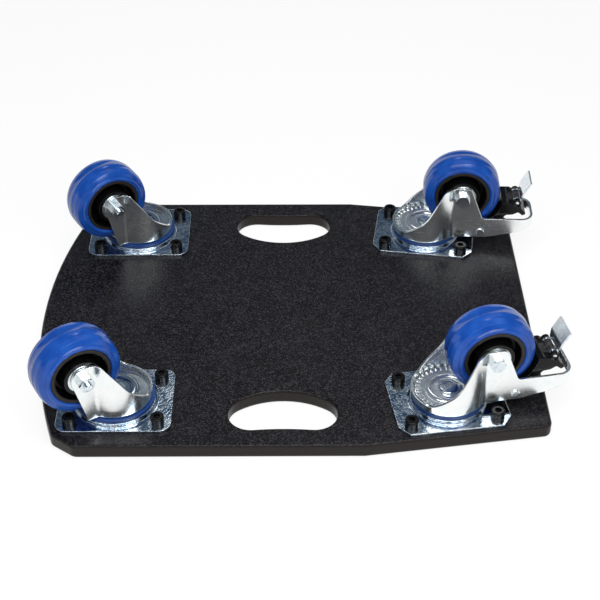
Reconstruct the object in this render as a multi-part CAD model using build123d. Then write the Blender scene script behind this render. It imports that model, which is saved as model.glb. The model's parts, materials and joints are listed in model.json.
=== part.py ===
from build123d import *
import os
from math import atan2, cos, degrees, radians, sin, sqrt

# Caster board, lying on its load face with the wheels up. All sizes are millimetres and degrees.
# X runs from the bowed end to the narrower braked end, left is +Y, and Z = 0 is the load face.

# Board
BOARD_LENGTH = 485.0
BOARD_WIDTH = 387.0
BOARD_THICKNESS = 15.0
BOARD_EDGE_RADIUS = 3.0
BOW_RADIUS = 545.0
BOW_CORNER_LENGTH = 51.5
BOW_CORNER_INSET = 15.5
BOW_CORNER_ROUNDING = 10.0
TAPER_LENGTH = 171.5
TAIL_INSET = 25.25
TAIL_CORNER_RADIUS = 8.0

# Hand holes
HOLE_SHIFT = -3.0
GRIP_WIDTH = 23.5
HOLE_WIDTH = 50.0
HOLE_INNER_RADIUS = 72.0
HOLE_OUTER_RADIUS = 270.0
HOLE_END_RADIUS = 21.2

# Where the casters stand and how each fork is turned
FREE_CASTER_INSET = 85.5
BRAKE_CASTER_INSET = 93.5
CASTER_SIDE_INSET = 58.5
CASTERS = {
    "free_left": {"braked": False, "side": 1, "turn": 212.0},
    "free_right": {"braked": False, "side": -1, "turn": 210.0},
    "brake_left": {"braked": True, "side": 1, "turn": -2.0},
    "brake_right": {"braked": True, "side": -1, "turn": 11.0},
}

# Mounting plate
PLATE_LENGTH = 105.0
PLATE_WIDTH = 85.0
PLATE_THICKNESS = 3.0
PLATE_CORNER_RADIUS = 11.0
PLATE_CUT_LENGTH = 9.0
PLATE_CUT_WIDTH = 11.0
SCREW_SPACING_LENGTH = 80.0
SCREW_SPACING_WIDTH = 60.0
RACE_MARGIN = 1.5
RACE_HEIGHT = 4.0
RACE_EDGE_RADIUS = 1.2
RACE_FOOT_RADIUS = 1.5

# Screws and the insert nuts that hold them
SCREW_RADIUS = 4.0
SCREW_REACH = 14.0
SCREW_HEAD_RIM = 2.5
SCREW_HEAD_HEIGHT = 7.5
SCREW_HEAD_ROUNDING = 1.6
SOCKET_WIDTH = 6.0
SOCKET_DEPTH = 4.0
INSERT_WALL = 1.5
INSERT_HEIGHT = 11.0
INSERT_FLANGE = 4.5
INSERT_FLANGE_HEIGHT = 1.6

# Swivel head
SWIVEL_GAP = 3.5
LOWER_BALL_RADIUS = 3.0
LOWER_BALL_INSET = 7.5
UPPER_BALL_RADIUS = 2.25
UPPER_BALL_INSET = 16.5
UPPER_BALL_SEAT = 0.9
BALL_COUNT = 18
FREE_SEAL_OVERHANG = 2.0
BRAKED_SEAL_INSET = 0.5
SEAL_WALL = 3.0
CAP_GAP = 0.4
CAP_SHEET = 2.0
CAP_RIDGE_WALL = 1.5
CAP_EDGE = 0.45
KINGPIN_RADIUS = 5.0
KINGPIN_SHOULDER = 1.5
KINGPIN_HEAD_RIM = 4.5
KINGPIN_HEAD_HEIGHT = 3.0
KINGPIN_HEAD_ROUNDING = 2.4
KINGPIN_TAIL_RIM = 4.0
KINGPIN_TAIL_HEIGHT = 2.5
TOOTH_RING_GAP = 0.5
TOOTH_COUNT = 36
TOOTH_GAP = 2.6
TOOTH_LENGTH = 4.0

# Wheel
WHEEL_DIAMETER = 80.0
WHEEL_GAP = 6.0
TRAIL = 36.0
TYRE_WIDTH = 36.0
TYRE_HEIGHT = 12.5
FLANGE_INSET = 2.8
TREAD_BAND_WIDTH = 15.0
TREAD_STEP = 0.7
SHOULDER_INSET = 3.0
SHOULDER_DROP = 2.9
BEAD_HEIGHT = 5.4
BEAD_BEVEL = 1.2
BEAD_STEP = 1.4
BEAD_ROUNDING = 0.8
SHOULDER_ROUNDING = 1.8
TREAD_ROUNDING = 0.4
FLANGE_HEIGHT = 0.9
FLANGE_WIDTH = 1.3
RIM_WALL = 3.0
RIM_DRAFT = 1.0
RIM_ROUNDING = 2.0
RIM_EDGE_RADIUS = 0.6
WEB_THICKNESS = 8.0
HUB_WALL = 3.5
HUB_GAP = 0.6
BEARING_RADIUS = 14.0
BEARING_WIDTH = 8.0
BEARING_LIP = 2.0
SLEEVE_WALL = 2.0

# Fork
SHEET = 2.5
TYRE_SIDE_GAP = 2.0
HEAD_RADIUS = 34.5
HEAD_BEND_RADIUS = 2.0
HEAD_HOLLOW_RADIUS = 1.5
HEAD_HOLE_GAP = 0.5
CREASE_RADIUS = 6.0
LIP_HEIGHT = 7.5
LIP_END_X = -23.0
LIP_ROUNDING = 12.0
KNEE_X = -1.0
KNEE_HEIGHT = 25.5
KNEE_ROUNDING = 40.0
LEG_TOP = 12.5
ARM_UNDERCUT = 2.0
LEG_TOP_ROUNDING = 5.5
PLAIN_LEG_FRONT = 14.5
PLAIN_LEG_REAR = 15.0
PLAIN_LEG_ROUNDING = 12.0
BRAKED_LEG_FRONT = 19.0
BRAKED_LEG_REAR = 8.5
BRAKED_LEG_FOOT = 22.5
ARM_ROOT_ROUNDING = 5.0
ARM_TOP_DROP = 24.0
ARM_BELLY_START = 8.0
ARM_BELLY_END = 16.0
ARM_BELLY_RISE = 6.5
ARM_BELLY_ROUNDING = 40.0
BAIL_REACH = 36.5
BAIL_TOP_DROP = 0.5
BAIL_RISE = 16.0
BAIL_CORNER_RADIUS = 14.0

# Axle bolt and nut
BOLT_RADIUS = 4.0
BOLT_HEAD_WIDTH = 13.0
BOLT_HEAD_HEIGHT = 5.3
BOLT_END = 3.5
NUT_HEIGHT = 8.0
HEX_CHAMFER = 0.9

# Brake
BRAKE_TRAVEL = 4.5
PAD_GAP = 0.4
PIVOT_GAP = 5.2
PIVOT_ANGLE = -62.3
PIVOT_RADIUS = 3.0
PIVOT_BOSS_WALL = 1.4
RIVET_HEAD_RIM = 1.2
RIVET_HEAD_HEIGHT = 1.6
RIVET_HEAD_ROUNDING = 1.0
PEDAL_PIN_GAP = 19.0
PEDAL_PIN_ANGLE = -9.0
PEDAL_PIN_RADIUS = 2.0
LEVER_INSET = 1.0
LEVER_TOP_DROP = 8.0
LEVER_ROUNDING = 1.5
BELLY_ROUNDING = 3.0
EAR_WALL = 2.2
EAR_WIDTH = 4.0
WINDOW_LENGTH = 8.0
WINDOW_DEPTH = 3.5
CORE_WIDTH = 14.0
CORE_SHEET = 1.8
CORE_WAIST_GAP = 6.5
CORE_WAIST_ANGLE = -32.0
CORE_BEND_GAP = 9.5
CORE_BEND_ANGLE = -11.5
CORE_EYE_LEAD = 5.0
CROSS_PLATE_WIDTH = 29.0
CROSS_PLATE_SHEET = 1.2
CROSS_PLATE_DEPTH = 6.0
FINGER_WIDTH = 1.8
FINGER_LIFT = 0.5
FINGER_ROOT = 2.0
KNUCKLE_WIDTH = 2.2
PEDAL_WIDTH = 26.0
PEDAL_SHEET = 2.0
PEDAL_BEND_RADIUS = 8.0
PEDAL_CORNER_RADIUS = 2.5

# Corners of the lever's side view as (x, z) from the pedal pin, and its foot from the pivot
LEVER_SHELF_END = -6.0
LEVER_SADDLE = (0.0, -2.5)
TOE_ROOT = (4.5, -4.5)
TOE_TIP = (10.0, -10.5)
TOE_HEEL = (6.5, -13.0)
TOE_NOTCH = (1.5, -9.0)
BELLY_REAR = (-4.0, -12.0)
BELLY_FRONT = (-11.0, -12.5)
LEVER_FOOT_REAR = (8.5, -4.0)
LEVER_FOOT_FRONT = (-4.0, 0.0)

# Bend and tip of the pedal flap as (x, z) from its root
PEDAL_BEND = (2.5, 11.0)
PEDAL_TIP = (9.5, 24.0)

# Clearances
FIT_GAP = 0.05
BALL_GAP = 0.1
SCREW_GAP = 0.3
SIDE_GAP = 0.3

# Places worked out from the sizes above
HALF_LENGTH = BOARD_LENGTH / 2
HALF_WIDTH = BOARD_WIDTH / 2
TAPER_ANGLE = degrees(atan2(TAIL_INSET, TAPER_LENGTH))
SCREW_HEAD_RADIUS = SCREW_RADIUS + SCREW_HEAD_RIM
INSERT_RADIUS = SCREW_RADIUS + INSERT_WALL
INSERT_FLANGE_RADIUS = INSERT_RADIUS + INSERT_FLANGE
LOWER_BALL_PITCH = HEAD_RADIUS - LOWER_BALL_INSET
UPPER_BALL_PITCH = HEAD_RADIUS - UPPER_BALL_INSET
CAP_RIDGE_RADIUS = UPPER_BALL_RADIUS + BALL_GAP + CAP_RIDGE_WALL
CAP_RADIUS = UPPER_BALL_PITCH + CAP_RIDGE_RADIUS + CAP_EDGE
TOOTH_RING_RADIUS = HEAD_RADIUS - SHEET - HEAD_HOLLOW_RADIUS - TOOTH_RING_GAP
KINGPIN_SHOULDER_RADIUS = KINGPIN_RADIUS + KINGPIN_SHOULDER
KINGPIN_HEAD_RADIUS = KINGPIN_RADIUS + KINGPIN_HEAD_RIM
KINGPIN_TAIL_RADIUS = KINGPIN_RADIUS + KINGPIN_TAIL_RIM
RACE_TOP = PLATE_THICKNESS + RACE_HEIGHT
HEAD_UNDERSIDE = RACE_TOP + SWIVEL_GAP
HEAD_TOP = HEAD_UNDERSIDE + SHEET
CAP_UNDERSIDE = HEAD_TOP + CAP_GAP
CAP_TOP = CAP_UNDERSIDE + CAP_SHEET
LOWER_BALL_Z = RACE_TOP + SWIVEL_GAP / 2
UPPER_BALL_Z = HEAD_TOP - UPPER_BALL_SEAT + UPPER_BALL_RADIUS
WHEEL_RADIUS = WHEEL_DIAMETER / 2
AXLE_Z = HEAD_TOP + WHEEL_GAP + WHEEL_RADIUS
TYRE_SEAT_RADIUS = WHEEL_RADIUS - TYRE_HEIGHT
HALF_TYRE = TYRE_WIDTH / 2
HALF_SEAT = HALF_TYRE - FLANGE_INSET
HALF_SHOULDER = HALF_TYRE - SHOULDER_INSET
HUB_RADIUS = BEARING_RADIUS + HUB_WALL
SLEEVE_RADIUS = BOLT_RADIUS + SLEEVE_WALL
HALF_FORK_GAP = HALF_TYRE + TYRE_SIDE_GAP
HALF_FORK = HALF_FORK_GAP + SHEET
HALF_HUB = HALF_FORK_GAP - HUB_GAP
BAIL_END = TRAIL + WHEEL_RADIUS + BAIL_REACH
HALF_LEVER = HALF_TYRE - LEVER_INSET
PIVOT_BOSS_RADIUS = PIVOT_RADIUS + PIVOT_BOSS_WALL
RIVET_HEAD_RADIUS = PIVOT_RADIUS + RIVET_HEAD_RIM
EAR_RADIUS = PEDAL_PIN_RADIUS + EAR_WALL


def around_axle(reach, angle):
    """Point in the fork's side view at a distance and an angle from the wheel's axle."""
    return (TRAIL + reach * cos(radians(angle)), AXLE_Z + reach * sin(radians(angle)))


PIVOT = around_axle(WHEEL_RADIUS + PIVOT_GAP, PIVOT_ANGLE)
PEDAL_PIN = around_axle(WHEEL_RADIUS + PEDAL_PIN_GAP, PEDAL_PIN_ANGLE)


# Helpers for drawing
def rounded_face(corners):
    """Closed face through corners given as (x, y, rounding radius)."""
    face = make_face(Polyline(*[(x, y) for x, y, _ in corners], close=True))
    for x, y, radius in corners:
        if radius:
            face = fillet(face.vertices().sort_by_distance((x, y))[0], radius)
    return face


def across(profile, low, high):
    """Solid of a side-view profile (x, z), running across the fork from y = low to y = high."""
    return Pos(0, high, 0) * extrude(Plane.XZ * profile, high - low)


def upright(radius, low, high):
    """Cylinder about the swivel axis."""
    return Pos(0, 0, low) * Cylinder(radius, high - low, align=(Align.CENTER, Align.CENTER, Align.MIN))


def crosswise(point, radius, low, high):
    """Cylinder across the fork about a point of its side view."""
    return across(Pos(*point) * Circle(radius), low, high)


def both_sides(solid):
    """A piece and its mirror image on the other side of the wheel's plane."""
    return solid + mirror(solid, Plane.XZ)


def spun(half_profile):
    """Solid of revolution about the axle from the (radius, y) corners of its left half."""
    right_half = [(radius, -y, rounding) for radius, y, rounding in reversed(half_profile)]
    solid = revolve(rounded_face(half_profile + right_half), Axis.Y)
    return Pos(TRAIL, 0, AXLE_Z) * solid


def is_circle(edge, radius):
    """Whether an edge is a circle of the given radius."""
    return edge.geom_type == GeomType.CIRCLE and abs(edge.radius - radius) < FIT_GAP


def hexagon(width, height):
    """Hexagon prism with its far end chamfered on the outside."""
    prism = extrude(RegularPolygon(width / 2, 6, major_radius=False), height)
    end_radius = width / sqrt(3)
    blank = upright(end_radius, 0, height)
    return prism & chamfer(blank.edges().sort_by(Axis.Z)[-1], HEX_CHAMFER)


# Board
def board_outline():
    """Outline of the board: bowed end, cut corners, straight sides and tapered tail."""
    bow_centre_x = BOW_RADIUS - HALF_LENGTH
    corner_y = HALF_WIDTH - BOW_CORNER_INSET
    corner_x = bow_centre_x - sqrt(BOW_RADIUS**2 - corner_y**2)
    side_x = BOW_CORNER_LENGTH - HALF_LENGTH
    taper_x = HALF_LENGTH - TAPER_LENGTH
    tail_y = HALF_WIDTH - TAIL_INSET
    bow = ThreePointArc((corner_x, corner_y), (-HALF_LENGTH, 0), (corner_x, -corner_y))
    right_side = Polyline(
        (corner_x, -corner_y), (side_x, -HALF_WIDTH), (taper_x, -HALF_WIDTH), (HALF_LENGTH, -tail_y)
    )
    tail = Line((HALF_LENGTH, -tail_y), (HALF_LENGTH, tail_y))
    left_side = mirror(right_side, Plane.XZ)
    outline = make_face([bow, right_side, tail, left_side])
    for side in (1, -1):
        for x, y, radius in (
            (corner_x, corner_y, BOW_CORNER_ROUNDING),
            (side_x, HALF_WIDTH, BOW_CORNER_ROUNDING),
            (HALF_LENGTH, tail_y, TAIL_CORNER_RADIUS),
        ):
            outline = fillet(outline.vertices().sort_by_distance((x, side * y))[0], radius)
    return outline


def hand_hole():
    """Kidney-shaped hole on the left side, its ends tangent to both long sides."""
    outer_y = HALF_WIDTH - GRIP_WIDTH
    inner_y = outer_y - HOLE_WIDTH
    inner_centre = Vector(0, inner_y + HOLE_INNER_RADIUS)
    outer_centre = Vector(0, outer_y + HOLE_OUTER_RADIUS)
    inner_reach = HOLE_INNER_RADIUS - HOLE_END_RADIUS
    outer_reach = HOLE_OUTER_RADIUS + HOLE_END_RADIUS
    spread = outer_centre.Y**2 - inner_centre.Y**2 - outer_reach**2 + inner_reach**2
    end_y = spread / (2 * (outer_centre.Y - inner_centre.Y))
    end_x = sqrt(inner_reach**2 - (end_y - inner_centre.Y) ** 2)
    end = Vector(end_x, end_y)
    inner_touch = inner_centre + (end - inner_centre) * (HOLE_INNER_RADIUS / inner_reach)
    outer_touch = outer_centre + (end - outer_centre) * (HOLE_OUTER_RADIUS / outer_reach)
    inner_mirror = Vector(-inner_touch.X, inner_touch.Y)
    outer_mirror = Vector(-outer_touch.X, outer_touch.Y)
    tip = Vector(end_x + HOLE_END_RADIUS, end_y)
    kidney = make_face(
        [
            ThreePointArc(inner_mirror, (0, inner_y), inner_touch),
            ThreePointArc(inner_touch, tip, outer_touch),
            ThreePointArc(outer_touch, (0, outer_y), outer_mirror),
            ThreePointArc(outer_mirror, (-tip.X, tip.Y), inner_mirror),
        ]
    )
    return Pos(HOLE_SHIFT, 0) * kidney


def board():
    """Plywood board with rounded edges, hand holes and stepped bores for screws and insert nuts."""
    blank = board_outline() - hand_hole() - mirror(hand_hole(), Plane.XZ)
    panel = extrude(blank, BOARD_THICKNESS)
    rims = panel.edges().group_by(Axis.Z)
    panel = fillet(rims[0] + rims[-1], BOARD_EDGE_RADIUS)
    bore = upright(INSERT_FLANGE_RADIUS + SIDE_GAP, 0, INSERT_FLANGE_HEIGHT)
    bore += upright(INSERT_RADIUS + FIT_GAP, 0, INSERT_HEIGHT)
    bore += upright(SCREW_RADIUS + SCREW_GAP, 0, BOARD_THICKNESS)
    for spot in screw_spots():
        panel -= spot * bore
    return panel


# Places of casters and screws
def caster_spot(caster):
    """Place of a caster's swivel axis on the board's upper face."""
    x = HALF_LENGTH - BRAKE_CASTER_INSET if caster["braked"] else FREE_CASTER_INSET - HALF_LENGTH
    return Pos(x, caster["side"] * (HALF_WIDTH - CASTER_SIDE_INSET), BOARD_THICKNESS)


def plate_spot(caster):
    """Place of a mounting plate: those at the tail lie along the tapered sides."""
    turn = -caster["side"] * TAPER_ANGLE if caster["braked"] else 0
    return caster_spot(caster) * Rot(0, 0, turn)


def fork_spot(caster):
    """Place of what swivels with a fork."""
    return caster_spot(caster) * Rot(0, 0, caster["turn"])


def screw_pattern():
    """Places of the four screws of one plate."""
    return GridLocations(SCREW_SPACING_LENGTH, SCREW_SPACING_WIDTH, 2, 2)


def screw_spots():
    """Places of all screws on the load face, under their plates."""
    down = Pos(0, 0, -BOARD_THICKNESS)
    return [plate_spot(caster) * down * hole for caster in CASTERS.values() for hole in screw_pattern()]


# Screws and insert nuts, drawn with the load face at Z = 0
def plate_screw():
    """Socket-head screw that clamps a plate to the board."""
    seat = BOARD_THICKNESS + PLATE_THICKNESS
    head = upright(SCREW_HEAD_RADIUS, seat, seat + SCREW_HEAD_HEIGHT)
    head = fillet(head.edges().sort_by(Axis.Z)[-1], SCREW_HEAD_ROUNDING)
    socket = extrude(RegularPolygon(SOCKET_WIDTH / 2, 6, major_radius=False), SOCKET_DEPTH)
    head -= Pos(0, 0, seat + SCREW_HEAD_HEIGHT - SOCKET_DEPTH) * socket
    return head + upright(SCREW_RADIUS, seat - SCREW_REACH, seat)


def insert_nut():
    """Flanged insert nut let into the load face."""
    nut = upright(INSERT_RADIUS, 0, INSERT_HEIGHT) + upright(INSERT_FLANGE_RADIUS, 0, INSERT_FLANGE_HEIGHT)
    return nut - upright(SCREW_RADIUS + FIT_GAP, 0, INSERT_HEIGHT)


# Swivel head, drawn about the swivel axis with the board's upper face at Z = 0
def seal_radius(braked):
    """Outer radius of the dust seal: beyond the head on free casters, just under it on braked ones."""
    return HEAD_RADIUS - BRAKED_SEAL_INSET if braked else HEAD_RADIUS + FREE_SEAL_OVERHANG


def mount_plate(braked):
    """Pressed plate with a raised ball race, hollow below; braked ones have cut corners."""
    race_radius = seal_radius(braked) + RACE_MARGIN
    half_length = PLATE_LENGTH / 2
    half_width = PLATE_WIDTH / 2
    blank = Rectangle(PLATE_LENGTH, PLATE_WIDTH)
    if braked:
        cut_x = half_length - PLATE_CUT_LENGTH
        cut_y = half_width - PLATE_CUT_WIDTH
        cut = Polyline((half_length, cut_y), (half_length, half_width), (cut_x, half_width), close=True)
        corner = make_face(cut)
        corners = corner + mirror(corner, Plane.XZ)
        blank -= corners + mirror(corners, Plane.YZ)
    else:
        blank = fillet(blank.vertices(), PLATE_CORNER_RADIUS)
    plate = extrude(blank, PLATE_THICKNESS) + upright(race_radius, 0, RACE_TOP)
    for height, rounding in ((RACE_TOP, RACE_EDGE_RADIUS), (PLATE_THICKNESS, RACE_FOOT_RADIUS)):
        rims = plate.edges().filter_by(lambda edge: is_circle(edge, race_radius))
        plate = fillet(rims.sort_by_distance((0, 0, height))[0], rounding)
    plate -= upright(race_radius - PLATE_THICKNESS, 0, RACE_HEIGHT)
    plate -= upright(KINGPIN_RADIUS + FIT_GAP, 0, RACE_TOP)
    plate -= Pos(0, 0, LOWER_BALL_Z) * Torus(LOWER_BALL_PITCH, LOWER_BALL_RADIUS + BALL_GAP)
    for hole in screw_pattern():
        plate -= hole * upright(SCREW_RADIUS + SCREW_GAP, 0, PLATE_THICKNESS)
    return plate


def dust_seal(braked):
    """Seal ring that hides the lower balls, standing on the race."""
    top = HEAD_UNDERSIDE - SIDE_GAP
    radius = seal_radius(braked)
    return upright(radius, RACE_TOP, top) - upright(radius - SEAL_WALL, RACE_TOP, top)


def ball_ring(pitch, radius, height):
    """Ring of bearing balls, each a separate solid."""
    return [Pos(0, 0, height) * spot * Sphere(radius) for spot in PolarLocations(pitch, BALL_COUNT)]


def swivel_balls():
    """Lower and upper rings of balls of one swivel head."""
    lower = ball_ring(LOWER_BALL_PITCH, LOWER_BALL_RADIUS, LOWER_BALL_Z)
    upper = ball_ring(UPPER_BALL_PITCH, UPPER_BALL_RADIUS, UPPER_BALL_Z)
    return lower + upper


def swivel_cap(radius):
    """Pressed cap on the kingpin with a ridge over the upper balls."""
    ridge = Pos(0, 0, UPPER_BALL_Z) * Torus(UPPER_BALL_PITCH, CAP_RIDGE_RADIUS)
    reach = UPPER_BALL_PITCH + CAP_RIDGE_RADIUS
    cap = upright(radius, CAP_UNDERSIDE, CAP_TOP)
    cap += ridge & upright(reach, CAP_UNDERSIDE, UPPER_BALL_Z + CAP_RIDGE_RADIUS)
    cap -= Pos(0, 0, UPPER_BALL_Z) * Torus(UPPER_BALL_PITCH, UPPER_BALL_RADIUS + BALL_GAP)
    return cap - upright(KINGPIN_RADIUS + FIT_GAP, CAP_UNDERSIDE, CAP_TOP)


def tooth_ring():
    """Swivel cap of a braked caster, its wider edge slotted into teeth for the brake's finger."""
    ring = swivel_cap(TOOTH_RING_RADIUS)
    gap = Box(TOOTH_LENGTH, TOOTH_GAP, CAP_SHEET, align=(Align.MAX, Align.CENTER, Align.MIN))
    spots = PolarLocations(TOOTH_RING_RADIUS, TOOTH_COUNT)
    return ring - [Pos(0, 0, CAP_UNDERSIDE) * spot * gap for spot in spots]


def kingpin():
    """Shouldered rivet that holds cap, fork head and plate together."""
    pin = upright(KINGPIN_TAIL_RADIUS, RACE_HEIGHT - KINGPIN_TAIL_HEIGHT, RACE_HEIGHT)
    pin += upright(KINGPIN_RADIUS, RACE_HEIGHT, CAP_TOP)
    pin += upright(KINGPIN_SHOULDER_RADIUS, RACE_TOP, CAP_UNDERSIDE)
    head = upright(KINGPIN_HEAD_RADIUS, CAP_TOP, CAP_TOP + KINGPIN_HEAD_HEIGHT)
    return pin + fillet(head.edges().sort_by(Axis.Z)[-1], KINGPIN_HEAD_ROUNDING)


# Fork, drawn about the swivel axis with the wheel behind it at +X
def fork_plan(rear, rear_rounding):
    """Plan of the fork: round head that closes in to two parallel cheeks."""
    plan = Circle(HEAD_RADIUS) + Pos(rear / 2, 0) * Rectangle(rear, 2 * HALF_FORK)
    creases = plan.vertices().filter_by_position(Axis.X, 1, HEAD_RADIUS)
    plan = fillet(creases, CREASE_RADIUS)
    if rear_rounding:
        plan = fillet(plan.vertices().group_by(Axis.X)[-1], rear_rounding)
    return plan


def leg_front(reach):
    """Side-view corners of a leg from the head's front lip to its top, which reaches ahead of the axle."""
    lip = HEAD_UNDERSIDE + LIP_HEIGHT
    front = -HEAD_RADIUS - SHEET
    return [
        (front, HEAD_UNDERSIDE, 0),
        (front, lip, 0),
        (LIP_END_X, lip, LIP_ROUNDING),
        (KNEE_X, HEAD_UNDERSIDE + KNEE_HEIGHT, KNEE_ROUNDING),
        (TRAIL - reach, AXLE_Z + LEG_TOP, LEG_TOP_ROUNDING),
    ]


def plain_leg():
    """Side view of an unbraked leg, rounded over the axle."""
    rear = (TRAIL + PLAIN_LEG_REAR, AXLE_Z + LEG_TOP, PLAIN_LEG_ROUNDING)
    return rounded_face(leg_front(PLAIN_LEG_FRONT) + [rear, (TRAIL, HEAD_UNDERSIDE, 0)])


def braked_leg():
    """Side view of a braked leg with the arm that runs back beside the brake."""
    foot = HEAD_UNDERSIDE + ARM_UNDERCUT
    arm_top = AXLE_Z - ARM_TOP_DROP
    rear = BAIL_END + SHEET
    return rounded_face(
        leg_front(BRAKED_LEG_FRONT)
        + [
            (TRAIL + BRAKED_LEG_REAR, AXLE_Z + LEG_TOP, LEG_TOP_ROUNDING),
            (TRAIL + BRAKED_LEG_FOOT, arm_top, ARM_ROOT_ROUNDING),
            (rear, arm_top - BAIL_TOP_DROP, 0),
            (rear, foot + BAIL_RISE, 0),
            (BAIL_END - ARM_BELLY_END, foot + ARM_BELLY_RISE, ARM_BELLY_ROUNDING),
            (PIVOT[0] + ARM_BELLY_START, foot, ARM_BELLY_ROUNDING),
            (TRAIL, foot, 0),
            (TRAIL, HEAD_UNDERSIDE, 0),
        ]
    )


def rounded_head(radius, low, rounding):
    """Drum about the swivel axis, its lower edge rounded."""
    drum = upright(radius, low, low + 2 * rounding)
    return fillet(drum.edges().sort_by(Axis.Z)[0], rounding)


def bent_edges(solid):
    """Lower edges along which the sheet is bent up: round the head, the creases and the cheeks."""
    lower = solid.faces().sort_by(Axis.Z)[0].outer_wire().edges()
    return [edge for edge in lower if edge.center().X < 0 or abs(edge.center().Y) > HALF_FORK - SHEET / 4]


def fork(braked):
    """Pressed fork: flat head with a raised lip, cheeks beside the wheel, and on braked ones a closed bail."""
    leg_end = TRAIL + PLAIN_LEG_REAR
    plan = fork_plan(BAIL_END, BAIL_CORNER_RADIUS) if braked else fork_plan(leg_end, 0)
    hollow = offset(plan, -SHEET)
    if not braked:
        hollow += Pos(leg_end, 0) * Rectangle(2 * SHEET, 2 * HALF_FORK_GAP)
    wall = Pos(0, 0, HEAD_UNDERSIDE) * extrude(plan - hollow, AXLE_Z + LEG_TOP)
    solid = wall & across(braked_leg() if braked else plain_leg(), -HEAD_RADIUS, HEAD_RADIUS)
    inner_radius = HEAD_RADIUS - SHEET
    hollow_top = HEAD_TOP + HEAD_HOLLOW_RADIUS
    bend = upright(inner_radius, HEAD_TOP, hollow_top)
    bend -= rounded_head(inner_radius, HEAD_TOP, HEAD_HOLLOW_RADIUS)
    front_half = Pos(0, 0, HEAD_TOP) * Box(
        HEAD_RADIUS, 2 * HEAD_RADIUS, LIP_HEIGHT, align=(Align.MAX, Align.CENTER, Align.MIN)
    )
    solid += upright(HEAD_RADIUS, HEAD_UNDERSIDE, HEAD_TOP) + (bend & front_half)
    solid = fillet(bent_edges(solid), HEAD_BEND_RADIUS)
    solid -= upright(KINGPIN_SHOULDER_RADIUS + HEAD_HOLE_GAP, HEAD_UNDERSIDE, HEAD_TOP)
    solid -= Pos(0, 0, LOWER_BALL_Z) * Torus(LOWER_BALL_PITCH, LOWER_BALL_RADIUS + BALL_GAP)
    solid -= Pos(0, 0, UPPER_BALL_Z) * Torus(UPPER_BALL_PITCH, UPPER_BALL_RADIUS + BALL_GAP)
    solid -= crosswise((TRAIL, AXLE_Z), BOLT_RADIUS + FIT_GAP, -HALF_FORK, HALF_FORK)
    if braked:
        solid -= crosswise(PIVOT, PIVOT_RADIUS + FIT_GAP, -HALF_FORK, HALF_FORK)
    return solid


# Wheel and axle
def tyre():
    """Elastic tyre with a flat tread band, sloping shoulders and a bead beside the rim's flange."""
    band = TREAD_BAND_WIDTH / 2
    bead_foot = TYRE_SEAT_RADIUS + FLANGE_HEIGHT + SIDE_GAP
    bead_top = bead_foot + BEAD_HEIGHT
    return spun(
        [
            (TYRE_SEAT_RADIUS, HALF_SEAT, 0),
            (bead_foot, HALF_SEAT, 0),
            (bead_foot, HALF_TYRE - BEAD_BEVEL, 0),
            (bead_foot + BEAD_BEVEL, HALF_TYRE, BEAD_ROUNDING),
            (bead_top - BEAD_BEVEL, HALF_TYRE, BEAD_ROUNDING),
            (bead_top, HALF_TYRE - BEAD_STEP, BEAD_ROUNDING),
            (WHEEL_RADIUS - SHOULDER_DROP, HALF_SHOULDER, SHOULDER_ROUNDING),
            (WHEEL_RADIUS - TREAD_STEP, band + TREAD_STEP, TREAD_ROUNDING),
            (WHEEL_RADIUS, band, TREAD_ROUNDING),
        ]
    )


def wheel_rim():
    """Moulded rim: hub with bearing seats, recessed web and a flanged tyre seat."""
    flange = HALF_SEAT + FLANGE_WIDTH
    flange_radius = TYRE_SEAT_RADIUS + FLANGE_HEIGHT
    well = TYRE_SEAT_RADIUS - RIM_WALL
    web = WEB_THICKNESS / 2
    bearing_end = HALF_HUB - BEARING_WIDTH
    return spun(
        [
            (BEARING_RADIUS - BEARING_LIP, bearing_end, 0),
            (BEARING_RADIUS, bearing_end, 0),
            (BEARING_RADIUS, HALF_HUB, 0),
            (HUB_RADIUS, HALF_HUB, RIM_EDGE_RADIUS),
            (HUB_RADIUS + RIM_DRAFT, web, RIM_ROUNDING),
            (well - RIM_DRAFT, web, RIM_ROUNDING),
            (well, flange, RIM_EDGE_RADIUS),
            (flange_radius, flange, RIM_EDGE_RADIUS),
            (flange_radius, HALF_SEAT, 0),
            (TYRE_SEAT_RADIUS, HALF_SEAT, 0),
        ]
    )


def wheel_bearings():
    """Ball bearing at each end of the hub, as two closed rings."""
    inner = HALF_HUB - BEARING_WIDTH
    ring = crosswise((TRAIL, AXLE_Z), BEARING_RADIUS, inner, HALF_HUB)
    ring -= crosswise((TRAIL, AXLE_Z), SLEEVE_RADIUS + FIT_GAP, inner, HALF_HUB)
    return [ring, mirror(ring, Plane.XZ)]


def axle_sleeve():
    """Spacer tube that the bearings turn on, clamped between the cheeks."""
    tube = crosswise((TRAIL, AXLE_Z), SLEEVE_RADIUS, -HALF_FORK_GAP, HALF_FORK_GAP)
    return tube - crosswise((TRAIL, AXLE_Z), BOLT_RADIUS + FIT_GAP, -HALF_FORK_GAP, HALF_FORK_GAP)


def axle_bolt():
    """Bolt through both cheeks, its hexagon head on the right."""
    bolt_end = HALF_FORK + NUT_HEIGHT + BOLT_END
    shank = crosswise((TRAIL, AXLE_Z), BOLT_RADIUS, -HALF_FORK, bolt_end)
    shank = chamfer(shank.edges().sort_by(Axis.Y)[-1], HEX_CHAMFER)
    head = Pos(TRAIL, -HALF_FORK, AXLE_Z) * Rot(90, 0, 0) * hexagon(BOLT_HEAD_WIDTH, BOLT_HEAD_HEIGHT)
    return shank + head


def axle_nut():
    """Hexagon nut on the left cheek."""
    nut = Pos(TRAIL, HALF_FORK, AXLE_Z) * Rot(-90, 0, 0) * hexagon(BOLT_HEAD_WIDTH, NUT_HEIGHT)
    return nut - crosswise((TRAIL, AXLE_Z), BOLT_RADIUS + FIT_GAP, HALF_FORK, HALF_FORK + NUT_HEIGHT)


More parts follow.
